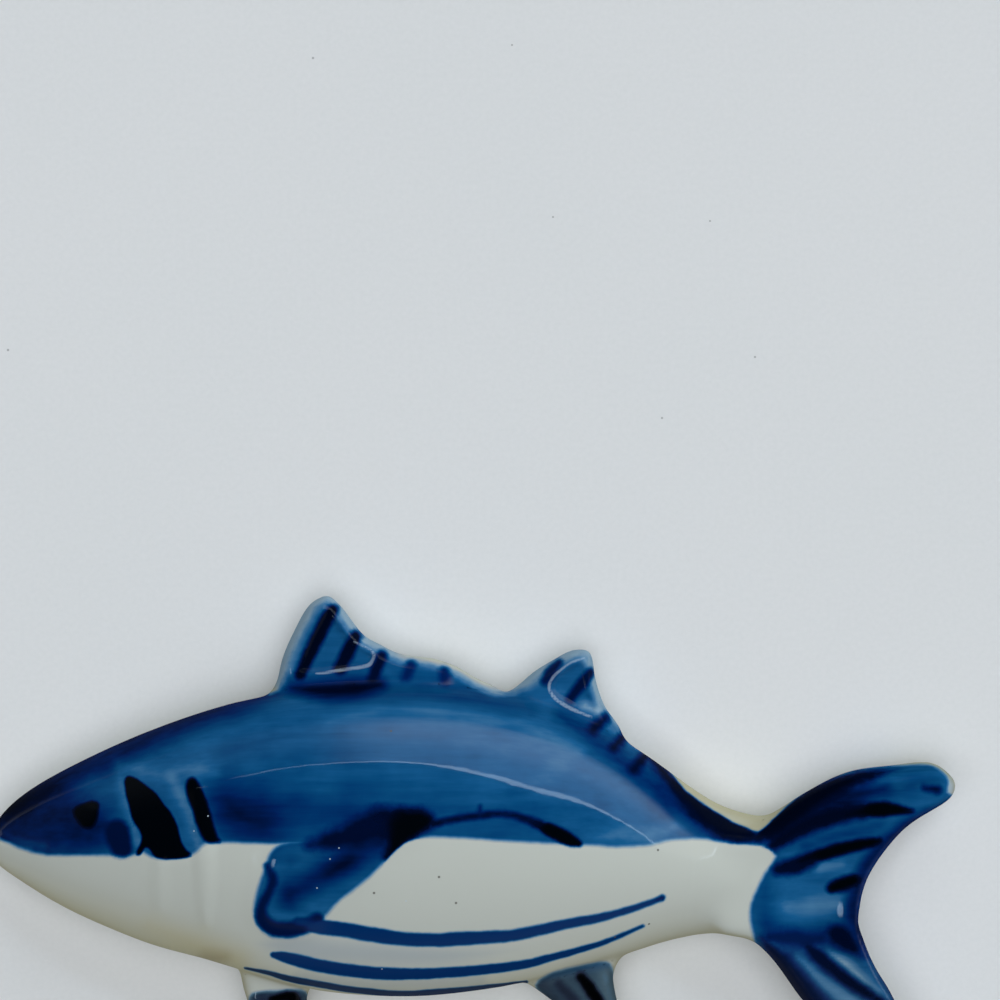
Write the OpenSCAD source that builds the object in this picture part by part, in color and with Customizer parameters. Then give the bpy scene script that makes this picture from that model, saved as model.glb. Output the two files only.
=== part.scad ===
// A porcelain chopstick rest in the form of a bonito that lies on its side.
// X runs from the snout to the tail, Y from the belly to the back and Z from the table up.
// The body is a solid loft with a shallow hollow in its foot, and each fin is a small loft luted onto it.
// The chopsticks lie across the low tail root, between the full flank and the raised tail.

/* [Fish] */
// Length from the snout to the tips of the tail fin
fish_l = 75; // [62:1:90]
// Length of the tail fin, behind the tail root
tail_l = 14.8; // [12:0.2:18]
// Depth of the body from the back to the belly, without fins
body_d = 24.2; // [19:0.2:29]
// Thickness of the body from the table to the fullest place on the flank
body_t = 13.5; // [11:0.25:16]

/* [Tail root] */
// Depth of the tail root, where the chopsticks lie
root_d = 9.3; // [8:0.1:11]
// Thickness of the tail root above the table
root_t = 7; // [6:0.1:8.5]
// How far the tail root hangs below the line from the snout to the middle of the body
root_drop = 3.4; // [2.5:0.1:4.2]

/* [Underside] */
// Depth of the hollow that is pressed into the unglazed foot
hollow_t = 0.8; // [0.4:0.1:1.5]
// Width of the flat foot that is left round the hollow
foot_w = 3.4; // [2.5:0.1:4.5]

/* [Gill cover] */
// Height of the gill cover's rear edge above the flank
gill_t = 0.45; // [0.2:0.05:0.8]
// Place of the gill cover's rear edge, as a share of the body's length from the snout
gill_share = 0.279; // [0.25:0.005:0.31]

/* [Fins] */
// Place of the first dorsal fin's front, as a share of the body's length from the snout
first_dorsal_share = 0.369; // [0.34:0.005:0.4]
// Length of the first dorsal fin along the back
first_dorsal_l = 18.2; // [15:0.2:20]
// Height of the first dorsal fin above the deepest line of the back
first_dorsal_h = 6.8; // [5.5:0.1:8.5]
// Distance along the back between the two dorsal fins
dorsal_gap = 0.5; // [0.4:0.1:1.5]
// Length of the second dorsal fin along the back
second_dorsal_l = 7.2; // [6:0.1:8.5]
// Height of the second dorsal fin above the back under it
second_dorsal_h = 6.4; // [5.5:0.1:7.8]
// Place of the pelvic fin's front, as a share of the body's length from the snout
pelvic_share = 0.319; // [0.3:0.005:0.36]
// Length of the pelvic fin along the belly
pelvic_l = 5.2; // [4:0.1:6.5]
// Height of the pelvic fin below the belly
pelvic_h = 5.4; // [4:0.1:7]
// Place of the anal fin's front, as a share of the body's length from the snout
anal_share = 0.691; // [0.65:0.005:0.72]
// Length of the anal fin along the belly
anal_l = 6.6; // [5.5:0.1:8]
// Height of the anal fin below the belly
anal_h = 5.2; // [4:0.1:6.5]
// Thickness of the back and belly fins
fin_t = 4.2; // [3.2:0.1:5]
// Height of the fins' undersides above the table, so that only the foot touches it
fin_lift = 0.8; // [0.4:0.1:1.5]
// Width of the rounded rim round the dished face of a fin
rim_w = 0.9; // [0.6:0.05:1.2]
// Depth of the dished faces of the fins
dish_t = 0.7; // [0.3:0.05:1]

/* [Pectoral fin] */
// Length of the pectoral fin from its rounded end to its tip
pectoral_l = 15.5; // [13:0.1:17]
// Width of the pectoral fin near its rounded end
pectoral_w = 6.2; // [5:0.1:7.5]
// Place of the pectoral fin's rounded end, as a share of the body's length from the snout
pectoral_share = 0.3505; // [0.33:0.005:0.38]
// Height of the pectoral fin above the flank
pectoral_t = 0.95; // [0.6:0.05:1.4]
// Angle between the pectoral fin and the length of the fish
pectoral_angle = 28.5; // [24:0.5:34]

/* [Tail fin] */
// Height of the tail fin's upper tip above the tail root's upper edge
upper_lobe_h = 4.2; // [3.5:0.1:5.5]
// Depth of the tail fin's lower tip below the tail root's lower edge
lower_lobe_h = 9.2; // [8:0.1:11]
// Thickness of the tail fin at its raised rear rim
tail_t = 7.6; // [6.5:0.1:9]
// Depth of the fork between the two lobes, from the tip of the upper lobe
fork_l = 7.4; // [6:0.1:9]
// How far the rear rim of the tail stands above its dished face
tail_dish = 1.1; // [0.6:0.1:1.6]

/* [Smoothness] */
// Points round one section of the body
body_points = 36; // [24:4:44]
// Points across one section of a fin
fin_points = 9; // [7:1:11]

/* [Hidden] */

body_l = fish_l - tail_l;
snout_x = -fish_l / 2;
root_x = snout_x + body_l;

// Distances from the snout to the gill cover's edge and to the front of each fin
gill_x = gill_share * body_l;
first_dorsal_x = first_dorsal_share * body_l;
second_dorsal_x = first_dorsal_x + first_dorsal_l + dorsal_gap;
pelvic_x = pelvic_share * body_l;
anal_x = anal_share * body_l;
pectoral_x = pectoral_share * body_l;

// Stations along the body: close together at the round snout and at the gill cover
station_shares = concat(
    [0, 0.004, 0.012, 0.024, 0.04, 0.06, 0.085, 0.115, 0.15, 0.185, 0.215],
    [for (s = [0.235 : 0.0095 : 0.3]) s],
    [for (s = [0.325 : 0.0293 : 0.99]) s],
    [1]);

// Rows of the back line: share of the body's length, then shares of body_d, root_d and root_drop
back_shares = [
    [0, -0.012, 0, 0], [0.012, 0.052, 0, 0], [0.035, 0.112, 0, 0], [0.071, 0.178, 0, 0],
    [0.113, 0.232, 0, 0], [0.19, 0.325, 0, 0], [0.282, 0.405, 0, 0], [0.36, 0.46, 0, 0],
    [0.46, 0.484, 0, 0], [0.56, 0.486, 0, 0], [0.66, 0.462, 0, 0], [0.735, 0.418, 0, 0],
    [0.795, 0.35, 0, 0], [0.84, 0.272, 0, 0], [0.895, 0.145, 0.08, -0.1],
    [0.945, 0.045, 0.36, -0.7], [1, 0, 0.5, -1]];
// Rows of the belly line, in the same shares
belly_shares = [
    [0, -0.022, 0, 0], [0.016, -0.096, 0, 0], [0.058, -0.172, 0, 0], [0.098, -0.231, 0, 0],
    [0.139, -0.277, 0, 0], [0.22, -0.355, 0, 0], [0.28, -0.388, 0, 0], [0.34, -0.434, 0, 0],
    [0.415, -0.486, 0, 0], [0.492, -0.505, 0, 0], [0.556, -0.51, 0, 0], [0.65, -0.483, 0, 0],
    [0.74, -0.434, 0, 0], [0.805, -0.396, 0, 0], [0.855, -0.25, -0.2, -0.15],
    [0.925, -0.12, -0.36, -0.4], [1, 0, -0.5, -1]];
// Rows of the flank's height: share of the body's length, then shares of body_t and root_t
flank_shares = [
    [0, 0.33, 0], [0.012, 0.4, 0], [0.035, 0.475, 0], [0.071, 0.57, 0], [0.113, 0.66, 0],
    [0.19, 0.795, 0], [0.282, 0.92, 0], [0.4, 0.99, 0], [0.5, 1, 0], [0.6, 0.985, 0],
    [0.7, 0.93, 0], [0.78, 0.845, 0], [0.85, 0.7, 0.08], [0.92, 0.3, 0.58], [1, 0, 1]];
// Rows of the underside's height as a share of body_t: below zero it is cut flat for the foot
under_shares = [
    [0, 0.28], [0.02, 0.14], [0.06, 0.03], [0.12, -0.05], [0.25, -0.1], [0.6, -0.1], [0.85, -0.06],
    [1, -0.03]];
// Height of the widest line of the body, as a share of its height there
waist_share = 0.36;
// Roundness of the section above and below its widest line: 2 is an ellipse, more is squarer
upper_power = 2.15;
lower_power = 2.7;

// Smooth curve through rows of shares: value of column c at u
function row_at(rows, u, i = 0) = i >= len(rows) - 2 || u < rows[i + 1][0] ? i : row_at(rows, u, i + 1);
function slope(rows, i, c) =
    let (a = max(i - 1, 0), b = min(i + 1, len(rows) - 1))
    (rows[b][c] - rows[a][c]) / (rows[b][0] - rows[a][0]);
function curve(rows, c, u) =
    let (i = row_at(rows, u), w = rows[i + 1][0] - rows[i][0], t = (u - rows[i][0]) / w)
    let (s = 1 - t)
    rows[i][c] * s * s * (1 + 2 * t) + rows[i + 1][c] * t * t * (1 + 2 * s)
    + slope(rows, i, c) * w * t * s * s - slope(rows, i + 1, c) * w * s * t * t;
function sign_power(v, p) = sign(v) * pow(abs(v), p);
function ease(t) = let (s = min(max(t, 0), 1)) s * s * (3 - 2 * s);

function edge_y(rows, u) =
    curve(rows, 1, u) * body_d + curve(rows, 2, u) * root_d + curve(rows, 3, u) * root_drop;
function back_y(u) = edge_y(back_shares, u);
function belly_y(u) = edge_y(belly_shares, u);
function flank_z(u) = curve(flank_shares, 1, u) * body_t + curve(flank_shares, 2, u) * root_t;
function under_z(u) = curve(under_shares, 1, u) * body_t;

// The gill cover stands proud of the flank: a steep rear edge that fades towards the eye
gill_edge_w = 0.9;
gill_fade_l = 5;
gill_bow = 1.4;
// Share of the flank's half width over which the edge runs out towards back and belly
gill_run_out_share = 0.33;
function gill_lift(x, side) =
    let (behind = x - snout_x - gill_x + gill_bow * side * side)
    gill_t * (1 - ease(behind / gill_edge_w + 0.5)) * ease((behind + gill_fade_l) / gill_fade_l)
    * ease((1 - abs(side)) / gill_run_out_share);

// Section of the body at share u: closed ring of points, counted from the back over the flank
function section(u) =
    let (x = snout_x + u * body_l, back = back_y(u), belly = belly_y(u), top = flank_z(u))
    let (mid = (back + belly) / 2, half = (back - belly) / 2, under = under_z(u))
    let (waist = max(waist_share * top, under + (top - under) * waist_share))
    [for (k = [0 : body_points - 1])
        let (a = 360 * k / body_points, p = sin(a) >= 0 ? upper_power : lower_power)
        let (y = sign_power(cos(a), 2 / p), h = sign_power(sin(a), 2 / p))
        [x, mid + half * y,
            waist + h * (sin(a) >= 0 ? top - waist : waist - under)
            + (sin(a) > 0 ? gill_lift(x, y) : 0)]];

function stretch_points(stations) = [for (u = stations) each section(u)];
function stretch_faces(rings, n) = concat(
    [[for (k = [0 : n - 1]) k]],
    [for (i = [0 : rings - 2], k = [0 : n - 1], half = [0, 1])
        let (a = i * n + k, b = i * n + (k + 1) % n)
        half == 0 ? [a, a + n, b] : [b, a + n, b + n]],
    [[for (k = [n - 1 : -1 : 0]) (rings - 1) * n + k]]);

// Part of the body between two distances from the snout, on the body's own stations
module stretch(from, to) {
    first = len([for (u = station_shares) if (u * body_l < from) u]) - 1;
    last = len([for (u = station_shares) if (u * body_l <= to) u]);
    stations = [for (i = [max(first, 0) : min(last, len(station_shares) - 1)]) station_shares[i]];
    polyhedron(stretch_points(stations), stretch_faces(len(stations), body_points), convexity = 4);
}
// The stretch of the body that a fin stands on, with some to spare at both ends
spare_share = 0.5;
module seat_of_fin(x, length) {
    stretch(x - spare_share * length, x + length * (1 + spare_share));
}

// The origin lies at the middle of the whole part, under the line from the dorsal fin's tip to the tail's
first_dorsal_top_y = back_y((first_dorsal_x + first_dorsal_l / 2) / body_l) + first_dorsal_h;
tail_low_y = -root_d / 2 - root_drop - lower_lobe_h;
tail_high_y = root_d / 2 - root_drop + upper_lobe_h;
module centred() {
    translate([0, -(first_dorsal_top_y + tail_low_y) / 2, 0]) children();
}

// The foot hollow follows the outline of the foot at a distance
overrun = 1;
hollow_from_share = 0.16;
hollow_to_share = 0.9;
hollow_steps = 14;
hollow_points_share = [for (i = [0 : hollow_steps])
    hollow_from_share + (hollow_to_share - hollow_from_share) * (1 - cos(180 * i / hollow_steps)) / 2];
function hollow_half(u) =
    let (t = (u - hollow_from_share) / (hollow_to_share - hollow_from_share))
    ((back_y(u) - belly_y(u)) / 2 - foot_w) * sqrt(max(0, 4 * t * (1 - t)));
function hollow_outline() =
    let (mids = [for (u = hollow_points_share) (back_y(u) + belly_y(u)) / 2], n = hollow_steps)
    concat(
        [for (i = [0 : n]) let (u = hollow_points_share[i])
            [snout_x + u * body_l, mids[i] + hollow_half(u)]],
        [for (i = [n - 1 : -1 : 1]) let (u = hollow_points_share[i])
            [snout_x + u * body_l, mids[i] - hollow_half(u)]]);

module body() {
    color("#dfe3da") centred() difference() {
        stretch(0, body_l);
        translate([snout_x - overrun, -body_d, -body_t])
            cube([fish_l, 2 * body_d, body_t]);
        translate([0, 0, -overrun]) linear_extrude(hollow_t + overrun) polygon(hollow_outline());
    }
}

// The least width of a fin's section, at its tip
thin_edge = 0.08;
// Where the rounded edge above and below starts, as shares of a fin's thickness
edge_share = 0.45;
lower_edge_share = 0.25;
// Part of the rim's width that stays on top of the rim before the dish begins
rim_flat_share = 0.5;

// Section across a fin from its leading to its trailing edge, as a closed ring in the plane y:
// a rounded rim at both edges, a dished face between them and a flat underside
function rim_profile(s, chord, rim) =
    let (d = min(s, chord - s)) sqrt(max(0, 1 - pow(1 - min(d / rim, 1), 2)));
function top_z(low, high, rounding) = low + (high - low) * (edge_share + (1 - edge_share) * rounding);
function bottom_z(low, high, rounding) = low + (high - low) * lower_edge_share * (1 - rounding);
function chord_steps(chord, n) = [for (i = [0 : n - 1]) chord * (1 - cos(180 * i / (n - 1))) / 2];
function fin_section(y, lead, trail, low, high, dish_from, dish_to) =
    let (n = fin_points, chord = max(trail - lead, thin_edge), rim = min(rim_w, chord / 2))
    let (steps = chord_steps(chord, n))
    concat(
        [for (s = steps)
            let (x = lead + s, in = ease((x - dish_from) / rim_w) * ease((dish_to - x) / rim_w))
            [x, y, top_z(low, high, rim_profile(s, chord, rim))
                - dish_t * in * ease(min(s, chord - s) / rim_w - rim_flat_share)]],
        [for (i = [n - 1 : -1 : 0])
            [lead + steps[i], y, bottom_z(low, high, rim_profile(steps[i], chord, rim))]]);

// A fin is a loft of such sections. rows: share of the span, leading edge and trailing edge as
// shares of the length, and thickness as a share of the full thickness
module fin(rows, base, span, length, dish_shares) {
    n = 2 * fin_points;
    rings = [for (v = fin_span_shares)
        fin_section(base[1] + span * v, base[0] + length * curve(rows, 1, v),
            base[0] + length * curve(rows, 2, v), fin_lift, fin_lift + fin_t * curve(rows, 3, v),
            base[0] + length * dish_shares[0], base[0] + length * dish_shares[1])];
    points = [for (r = rings) each r];
    faces = stretch_faces(len(rings), n);
    polyhedron(points, span > 0 ? [for (f = faces) [for (k = [len(f) - 1 : -1 : 0]) f[k]]] : faces,
        convexity = 6);
}

fin_span_shares = [0, 0.15, 0.3, 0.42, 0.54, 0.65, 0.75, 0.84, 0.91, 0.96, 0.985, 1];
// How far a fin's root reaches into the body before the body is cut from it
root_sink = 2.4;

// Rows: share of the span, leading edge, trailing edge, thickness
first_dorsal_shares = [
    [0, -0.02, 1, 1], [0.22, 0, 0.98, 1], [0.36, 0.01, 0.82, 1], [0.48, 0.03, 0.6, 0.98],
    [0.62, 0.07, 0.44, 0.94], [0.76, 0.11, 0.34, 0.88], [0.89, 0.16, 0.28, 0.8],
    [0.96, 0.18, 0.255, 0.72], [1, 0.2, 0.225, 0.6]];
first_dorsal_dish_shares = [0.03, 0.44];
module first_dorsal_fin() {
    u = (first_dorsal_x + first_dorsal_l / 2) / body_l;
    root_y = back_y(u) - root_sink;
    color("#1f5a94") centred() difference() {
        fin(first_dorsal_shares, [snout_x + first_dorsal_x, root_y], first_dorsal_h + root_sink,
            first_dorsal_l, first_dorsal_dish_shares);
        seat_of_fin(first_dorsal_x, first_dorsal_l);
    }
}

second_dorsal_shares = [
    [0, -0.1, 1.42, 1], [0.2, -0.05, 1.13, 1], [0.3, -0.04, 1.05, 1], [0.4, -0.03, 0.97, 1],
    [0.56, -0.01, 0.9, 1], [0.64, 0.03, 0.88, 1], [0.7, 0.12, 0.865, 0.98], [0.79, 0.26, 0.85, 0.94],
    [0.9, 0.44, 0.835, 0.88], [0.97, 0.58, 0.8, 0.8], [1, 0.66, 0.75, 0.7]];
second_dorsal_dish_shares = [0.1, 0.95];
module second_dorsal_fin() {
    u = (second_dorsal_x + second_dorsal_l) / body_l;
    root_y = back_y(u) - root_sink / 2;
    color("#2a6597") centred() difference() {
        fin(second_dorsal_shares, [snout_x + second_dorsal_x, root_y], second_dorsal_h + root_sink / 2,
            second_dorsal_l, second_dorsal_dish_shares);
        seat_of_fin(second_dorsal_x, second_dorsal_l);
    }
}

pelvic_shares = [
    [0, -0.1, 1.05, 1], [0.3, -0.02, 1.02, 1], [0.5, 0.12, 1.04, 0.98], [0.68, 0.3, 1.06, 0.94],
    [0.84, 0.52, 1.05, 0.88], [0.94, 0.7, 1.0, 0.8], [1, 0.84, 0.92, 0.66]];
pelvic_dish_shares = [0.1, 1];
module pelvic_fin() {
    u = (pelvic_x + pelvic_l / 2) / body_l;
    root_y = belly_y(u) + root_sink;
    color("#16345c") centred() difference() {
        fin(pelvic_shares, [snout_x + pelvic_x, root_y], -pelvic_h - root_sink, pelvic_l,
            pelvic_dish_shares);
        seat_of_fin(pelvic_x, pelvic_l);
    }
}

anal_shares = [
    [0, -0.2, 1.04, 1], [0.3, -0.11, 1.06, 1], [0.48, 0.08, 1.08, 0.98], [0.66, 0.33, 1.11, 0.94],
    [0.82, 0.62, 1.14, 0.88], [0.93, 0.87, 1.17, 0.8], [1, 1.03, 1.13, 0.66]];
anal_dish_shares = [0.1, 1];
module anal_fin() {
    u = (anal_x + anal_l / 2) / body_l;
    root_y = belly_y(u) + root_sink;
    color("#1f5a94") centred() difference() {
        fin(anal_shares, [snout_x + anal_x, root_y], -anal_h - root_sink, anal_l, anal_dish_shares);
        seat_of_fin(anal_x, anal_l);
    }
}

// The pectoral fin is a dished paddle that follows the flank. Rows: share of its length, then the
// places of its lower and upper edges as shares of its width, and its height share
pectoral_rows_shares = [
    [0, -0.08, -0.03, 0.35], [0.012, -0.17, 0.05, 0.6], [0.04, -0.29, 0.14, 0.8], [0.09, -0.42, 0.28, 1],
    [0.15, -0.465, 0.41, 1], [0.215, -0.47, 0.54, 1], [0.3, -0.42, 0.6, 1], [0.42, -0.31, 0.51, 1],
    [0.58, -0.23, 0.455, 0.95], [0.7, -0.145, 0.44, 0.9], [0.8, -0.06, 0.39, 0.8], [0.9, -0.05, 0.22, 0.7],
    [0.96, -0.035, 0.1, 0.55], [1, -0.01, 0.02, 0.35]];
pectoral_span_shares = [
    0, 0.01, 0.03, 0.07, 0.13, 0.2, 0.28, 0.37, 0.46, 0.55, 0.64, 0.73, 0.82, 0.9, 0.96, 1];
// Place of the rounded end across the body, as a share of body_d from the middle line
pectoral_y_share = -0.217;
// Share of the fin's length at its tip over which the dish runs out
pectoral_tip_share = 0.35;
function flank_at(x, y) =
    let (u = min(max((x - snout_x) / body_l, 0), 1), back = back_y(u), belly = belly_y(u))
    let (side = (y - (back + belly) / 2) / ((back - belly) / 2), top = flank_z(u))
    let (waist = waist_share * top)
    waist + (top - waist) * pow(max(0, 1 - pow(abs(side), upper_power)), 1 / upper_power);
function pectoral_place(s, w) =
    [snout_x + pectoral_x + s * cos(pectoral_angle) - w * sin(pectoral_angle),
        pectoral_y_share * body_d + s * sin(pectoral_angle) + w * cos(pectoral_angle)];
function pectoral_ring(v) =
    let (n = fin_points + 2, s = v * pectoral_l)
    let (lo = curve(pectoral_rows_shares, 1, v) * pectoral_w)
    let (hi = curve(pectoral_rows_shares, 2, v) * pectoral_w)
    let (wide = hi - lo, rim = min(rim_w, wide / 2), lift = pectoral_t * curve(pectoral_rows_shares, 3, v))
    let (steps = chord_steps(wide, n), places = [for (w = steps) pectoral_place(s, lo + w)])
    let (dish = dish_t * ease(s / rim_w - 1) * ease((pectoral_l - s) / (pectoral_tip_share * pectoral_l)))
    concat(
        [for (i = [0 : n - 1]) let (p = places[i])
            [p[0], p[1], flank_at(p[0], p[1]) + top_z(0, lift, rim_profile(steps[i], wide, rim))
                - dish * ease(min(steps[i], wide - steps[i]) / rim_w - rim_flat_share)]],
        [for (i = [n - 1 : -1 : 0]) let (p = places[i])
            [p[0], p[1], flank_at(p[0], p[1]) - pectoral_t]]);
module pectoral_fin() {
    rings = [for (v = pectoral_span_shares) pectoral_ring(v)];
    color("#17477f") centred() difference() {
        polyhedron([for (r = rings) each r],
            stretch_faces(len(rings), 2 * (fin_points + 2)), convexity = 6);
        seat_of_fin(pectoral_x, pectoral_l);
    }
}

// The tail fin: a fan with two lobes round a fork. Rows run from the lower tip to the upper tip:
// share of the tail's depth, then leading and trailing edge as shares of tail_l, and thickness
fork_share = 1 - fork_l / tail_l;
// The rows below are drawn with the bottom of the fork at this share of tail_l
fork_base_share = 0.5;
tail_shares = [
    [0, 0.68, 0.74, 0.62], [0.02, 0.56, 0.81, 0.7], [0.05, 0.475, 0.83, 0.76], [0.09, 0.385, 0.81, 0.82],
    [0.14, 0.31, 0.76, 0.87], [0.2, 0.22, 0.695, 0.92], [0.27, 0.14, 0.64, 0.97], [0.33, 0.07, 0.583, 1],
    [0.38, 0, 0.545, 1], [0.47, 0, 0.5, 1], [0.56, 0, 0.51, 1], [0.66, 0, 0.575, 1], [0.72, 0, 0.64, 1],
    [0.77, 0, 0.71, 1], [0.815, 0.03, 0.81, 0.97], [0.855, 0.1, 0.915, 0.93], [0.89, 0.185, 0.975, 0.88],
    [0.925, 0.28, 1, 0.83], [0.963, 0.41, 0.975, 0.77], [0.985, 0.54, 0.935, 0.72], [1, 0.74, 0.87, 0.64]];
tail_span_shares = [0, 0.012, 0.03, 0.06, 0.1, 0.15, 0.2, 0.26, 0.32, 0.38, 0.43, 0.48, 0.54, 0.6, 0.66,
    0.72, 0.76, 0.79, 0.82, 0.85, 0.88, 0.91, 0.94, 0.965, 0.985, 1];
// Between these shares of its depth the tail grows out of the tail root
tail_root_shares = [0.4, 0.79];
// Length of the slope from the tail root's top down to the dished face
tail_slope_share = 0.25;
function at_root(v) =
    let (blend = (tail_root_shares[1] - tail_root_shares[0]) / 4)
    ease((v - tail_root_shares[0]) / blend) * ease((tail_root_shares[1] - v) / blend);
function tail_ring(v) =
    let (y = tail_low_y + (tail_high_y - tail_low_y) * v, n = fin_points + 2)
    let (lead = root_x + tail_l * max(0, curve(tail_shares, 1, v)))
    let (fork = (fork_share - fork_base_share) * 4 * v * (1 - v))
    let (trail = root_x + tail_l * (curve(tail_shares, 2, v) + fork), chord = max(trail - lead, thin_edge))
    let (rim = min(rim_w, chord / 2), low = fin_lift, high = tail_t * curve(tail_shares, 3, v))
    let (steps = chord_steps(chord, n), root = at_root(v))
    concat(
        [for (s = steps)
            let (rounding = max(rim_profile(s, chord, rim), s < chord / 2 ? root : 0))
            let (slope = root * (1 - ease(s / (tail_l * tail_slope_share))))
            let (in = min(s + root * rim_w, chord - s))
            [lead + s, y, top_z(low, high, rounding) + (root_t - tail_t) * slope
                - tail_dish * ease(in / rim_w - rim_flat_share) * (1 - slope)]],
        [for (i = [n - 1 : -1 : 0])
            [lead + steps[i], y, bottom_z(low, high, rim_profile(steps[i], chord, rim))]]);
module tail_fin() {
    rings = [for (v = tail_span_shares) tail_ring(v)];
    faces = stretch_faces(len(rings), 2 * (fin_points + 2));
    color("#17477f") centred() polyhedron([for (r = rings) each r],
        [for (f = faces) [for (k = [len(f) - 1 : -1 : 0]) f[k]]], convexity = 6);
}

body();
first_dorsal_fin();
second_dorsal_fin();
pectoral_fin();
pelvic_fin();
anal_fin();
tail_fin();
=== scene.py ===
import math

import bpy
import numpy as np
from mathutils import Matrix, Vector
from mathutils.bvhtree import BVHTree


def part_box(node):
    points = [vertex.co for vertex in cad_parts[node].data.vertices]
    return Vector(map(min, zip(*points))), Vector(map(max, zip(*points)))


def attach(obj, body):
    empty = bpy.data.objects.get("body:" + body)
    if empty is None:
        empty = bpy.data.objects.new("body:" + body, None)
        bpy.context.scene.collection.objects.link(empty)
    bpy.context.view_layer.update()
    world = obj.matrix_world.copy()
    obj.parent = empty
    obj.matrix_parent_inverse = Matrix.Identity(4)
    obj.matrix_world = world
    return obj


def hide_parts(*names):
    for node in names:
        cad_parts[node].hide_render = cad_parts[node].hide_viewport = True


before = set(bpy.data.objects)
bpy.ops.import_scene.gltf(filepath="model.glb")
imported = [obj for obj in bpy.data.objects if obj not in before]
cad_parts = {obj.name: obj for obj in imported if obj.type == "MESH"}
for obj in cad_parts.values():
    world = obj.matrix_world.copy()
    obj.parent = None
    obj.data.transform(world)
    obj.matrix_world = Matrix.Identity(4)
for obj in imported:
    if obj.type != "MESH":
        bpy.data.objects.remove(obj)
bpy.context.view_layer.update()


# The viewpoint. The rest lies on a table and is seen straight down from about 21 cm, with its head to
# the left. The middle of the picture lies above its back, so the near side of the back's wall shows.
MM = 0.001
EYE_HEIGHT = 210.0
EYE_X = 2.25
EYE_Y = 25.405
PIXELS_PER_MM_ON_TABLE = 12.62
PICTURE_MIDDLE = 500.0
SENSOR_WIDTH = 36.0

camera_data = bpy.data.cameras.new("camera_over_the_rest")
camera = bpy.data.objects.new("camera_over_the_rest", camera_data)
bpy.context.scene.collection.objects.link(camera)
camera.location = (EYE_X * MM, EYE_Y * MM, EYE_HEIGHT * MM)
camera_data.sensor_width = SENSOR_WIDTH
camera_data.lens = SENSOR_WIDTH * EYE_HEIGHT * PIXELS_PER_MM_ON_TABLE / (2 * PICTURE_MIDDLE)
camera_data.clip_start = 0.01
bpy.context.scene.camera = camera


# The body: the pressed porcelain fish, lofted from snout to tail root, flat where it stands, with a
# shallow hollow inside its foot. Its length runs along X, its back looks to +Y, and +Z is up.
RING_SIDES = 24
ROUND_LOSS = 1.0115
FOOT_HOLLOW = 0.8
HOLLOW_MIDDLE = (-4.5, -0.6)
HOLLOW_HALF_LENGTH = 19.6
HOLLOW_HALF_WIDTH = 5.5
back_line = [
    (-37.5, -0.9), (-37.1, 0.1), (-36.5, 1.0), (-35.3, 2.22), (-33.2, 3.62), (-30.7, 4.92), (-26, 7.19),
    (-20.5, 9.12), (-15.8, 10.42), (-9.4, 10.99), (-3.6, 11.07), (2.25, 10.52), (6.9, 9.42), (10.4, 7.72),
    (13.1, 6.02), (16.4, 3.47), (19.5, 1.32), (22.7, 0.57), (26, 0.2), (30, -1.6)]
belly_line = [
    (-37.5, -1.7), (-37.1, -2.5), (-36.5, -3.18), (-34, -4.83), (-31.6, -6.28), (-29.1, -7.38),
    (-24.2, -9.28), (-20.6, -9.94), (-17.1, -11.18), (-12.5, -12.43), (-7.8, -12.88), (-4, -13.04),
    (1.55, -12.38), (4.5, -11.98), (6.9, -11.18), (11, -10.25), (14, -9.18), (18.2, -8.24), (20.9, -8.32),
    (22.7, -8.73), (26, -8.6), (30, -5.6)]
height_line = [
    (-37.5, 4.6), (-37.1, 5.1), (-36.5, 5.75), (-35.4, 6.4), (-33.2, 7.7), (-30.7, 8.9), (-26.0, 10.7),
    (-20.5, 12.4), (-13.4, 13.37), (-7.4, 13.5), (-1.4, 13.3), (4.6, 12.55), (9.5, 11.4), (13.7, 10.0),
    (17.9, 8.1), (22.7, 7.0), (26, 6.4), (30, 4.6)]
under_line = [(-37.5, 3.7), (-37.1, 2.9), (-36.5, 2.0), (-35.3, 1.1), (-33.2, 0.0), (-30.7, -1.2),
              (-26.0, -2.4), (-20.5, -3.2), (-1.4, -3.78), (13.7, -3.0), (22.7, -2.0), (30, 0.5)]
ring_places = [-37.5, -37.1, -36.5, -35.3, -33.2, -30.7, -27.5, -24, -20.5, -16.5, -12.5, -8, -3.6, 1.0,
               5.0, 8.5, 11.5, 14.2, 16.8, 19.5, 22.7, 26, 30]


def read_line(line, x):
    return float(np.interp(x, [p[0] for p in line], [p[1] for p in line]))


def select_only(piece):
    bpy.ops.object.select_all(action="DESELECT")
    piece.select_set(True)
    bpy.context.view_layer.objects.active = piece


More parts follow.
